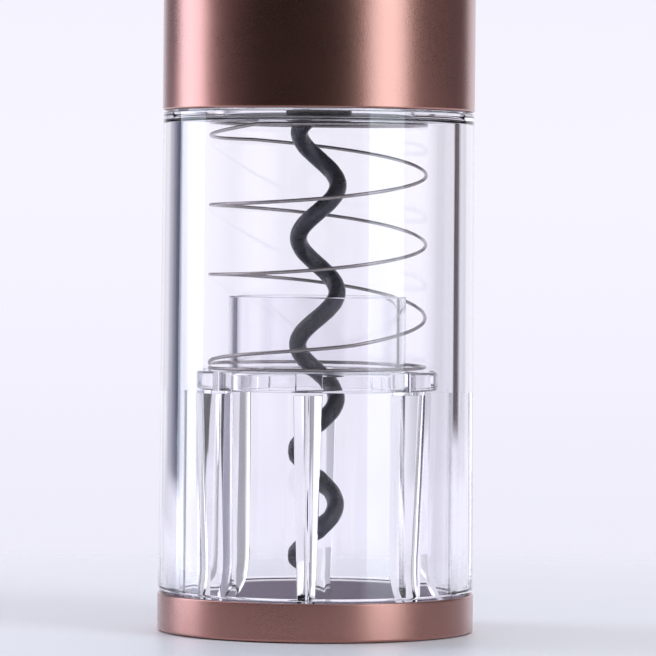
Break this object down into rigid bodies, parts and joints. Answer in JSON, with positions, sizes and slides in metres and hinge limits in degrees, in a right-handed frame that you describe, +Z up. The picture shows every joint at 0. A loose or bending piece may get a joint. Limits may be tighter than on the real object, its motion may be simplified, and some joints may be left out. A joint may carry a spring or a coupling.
{
  "type": "electric wine opener",
  "caption": "Upright battery wine opener: bronze body tube over a clear barrel that shows a sprung cork sleeve and a motor-driven worm.",
  "frame": {"origin": "centre of the base ring's lower face, on the surface it stands on", "axes": "+Z up along the worm's axis, -Y out through the rocker switch, +X to the right seen from the switch's side"},
  "size_m": [0.05, 0.05, 0.235],
  "materials": {
    "bronze_metal": "satin rose-bronze",
    "clear_plastic": "clear moulded plastic",
    "spring_steel": "drawn wire and strip",
    "black_coating": "low-friction coating, semi-gloss",
    "steel": "machined",
    "brass": "turned",
    "dark_plastic": "fine texture",
    "gear_plastic": "moulded",
    "magnet": "sintered",
    "board_laminate": "solder mask",
    "cell_wrap": "printed-free shrink wrap",
    "red_insulation": "wire insulation",
    "black_insulation": "wire insulation",
    "seal_rubber": "matt"
  },
  "bodies": {
    "housing": {"base_ring": "bronze_metal", "body_sleeve": "bronze_metal", "clear_barrel": "clear_plastic", "return_spring": "spring_steel", "contact_strip_left": "spring_steel", "contact_strip_right": "spring_steel", "motor_can": "steel", "rocker_pin": "steel", "gearbox_screw_1": "steel", "gearbox_screw_2": "steel", "gearbox_screw_3": "steel", "motor_screw_left": "steel", "motor_screw_right": "steel", "switch_down": "steel", "switch_up": "steel", "spindle_bush": "brass", "bulkhead": "dark_plastic", "gearbox_base": "dark_plastic", "gearbox_cover": "dark_plastic", "frame_left": "dark_plastic", "frame_right": "dark_plastic", "motor_end_cap": "dark_plastic", "rocker_bezel": "dark_plastic", "cell_holder": "dark_plastic", "ring_gear": "gear_plastic", "motor_magnet_left": "magnet", "motor_magnet_right": "magnet", "circuit_board": "board_laminate", "cell_1": "cell_wrap", "cell_2": "cell_wrap", "cell_3": "cell_wrap", "cell_4": "cell_wrap", "motor_wire_red": "red_insulation", "motor_wire_black": "black_insulation"},
    "sleeve": {"cork_sleeve": "clear_plastic"},
    "output_drive": {"worm": "black_coating", "worm_chuck": "dark_plastic", "output_spindle": "steel", "output_carrier": "steel", "output_pin_a": "steel", "output_pin_b": "steel", "output_pin_c": "steel"},
    "output_wheel_a": {"output_planet_a": "gear_plastic"},
    "output_wheel_b": {"output_planet_b": "gear_plastic"},
    "output_wheel_c": {"output_planet_c": "gear_plastic"},
    "input_drive": {"input_carrier": "steel", "input_pin_a": "steel", "input_pin_b": "steel", "input_pin_c": "steel"},
    "input_wheel_a": {"input_planet_a": "gear_plastic"},
    "input_wheel_b": {"input_planet_b": "gear_plastic"},
    "input_wheel_c": {"input_planet_c": "gear_plastic"},
    "rotor": {"motor_rotor": "steel", "motor_pinion": "brass"},
    "rocker": {"rocker": "dark_plastic"},
    "cap": {"battery_cap": "bronze_metal", "cap_insert": "dark_plastic", "cap_seal": "seal_rubber", "cap_contact_left": "spring_steel", "cap_contact_right": "spring_steel"}
  },
  "joints": [
    {"name": "sleeve_slide", "type": "slide", "parent": "housing", "child": "sleeve", "axis": [0, 0, 1], "range_m": [0, 0.026], "stiffness_N_per_m": 60, "springref_m": -0.03, "deforming": ["return_spring"]},
    {"name": "worm_spin", "type": "hinge", "parent": "housing", "child": "output_drive", "pos_m": [0, 0, 0.095], "axis": [0, 0, 1], "continuous": true},
    {"name": "input_drive_spin", "type": "hinge", "parent": "housing", "child": "input_drive", "pos_m": [0, 0, 0.109], "axis": [0, 0, 1], "continuous": true},
    {"name": "rotor_spin", "type": "hinge", "parent": "housing", "child": "rotor", "pos_m": [0, 0, 0.135], "axis": [0, 0, 1], "continuous": true},
    {"name": "output_wheel_a_spin", "type": "hinge", "parent": "output_drive", "child": "output_wheel_a", "pos_m": [0.009, 0, 0.1037], "axis": [0, 0, 1], "continuous": true},
    {"name": "output_wheel_b_spin", "type": "hinge", "parent": "output_drive", "child": "output_wheel_b", "pos_m": [-0.0045, 0.00779, 0.1037], "axis": [0, 0, 1], "continuous": true},
    {"name": "output_wheel_c_spin", "type": "hinge", "parent": "output_drive", "child": "output_wheel_c", "pos_m": [-0.0045, -0.00779, 0.1037], "axis": [0, 0, 1], "continuous": true},
    {"name": "input_wheel_a_spin", "type": "hinge", "parent": "input_drive", "child": "input_wheel_a", "pos_m": [0.009, 0, 0.1136], "axis": [0, 0, 1], "continuous": true},
    {"name": "input_wheel_b_spin", "type": "hinge", "parent": "input_drive", "child": "input_wheel_b", "pos_m": [-0.0045, 0.00779, 0.1136], "axis": [0, 0, 1], "continuous": true},
    {"name": "input_wheel_c_spin", "type": "hinge", "parent": "input_drive", "child": "input_wheel_c", "pos_m": [-0.0045, -0.00779, 0.1136], "axis": [0, 0, 1], "continuous": true},
    {"name": "rocker_tilt", "type": "hinge", "parent": "housing", "child": "rocker", "pos_m": [0, -0.0236, 0.166], "axis": [1, 0, 0], "range_deg": [-4, 4], "stiffness_Nm_per_rad": 0.05},
    {"name": "cap_lift", "type": "slide", "parent": "housing", "child": "cap", "axis": [0, 0, 1], "range_m": [0, 0.04]}
  ],
  "couplings": [
    {"joint": "input_drive_spin", "follows": "worm_spin", "ratio": 5},
    {"joint": "rotor_spin", "follows": "worm_spin", "ratio": 25},
    {"joint": "output_wheel_a_spin", "follows": "worm_spin", "ratio": -2.6667},
    {"joint": "output_wheel_b_spin", "follows": "worm_spin", "ratio": -2.6667},
    {"joint": "output_wheel_c_spin", "follows": "worm_spin", "ratio": -2.6667},
    {"joint": "input_wheel_a_spin", "follows": "worm_spin", "ratio": -13.333},
    {"joint": "input_wheel_b_spin", "follows": "worm_spin", "ratio": -13.333},
    {"joint": "input_wheel_c_spin", "follows": "worm_spin", "ratio": -13.333}
  ]
}
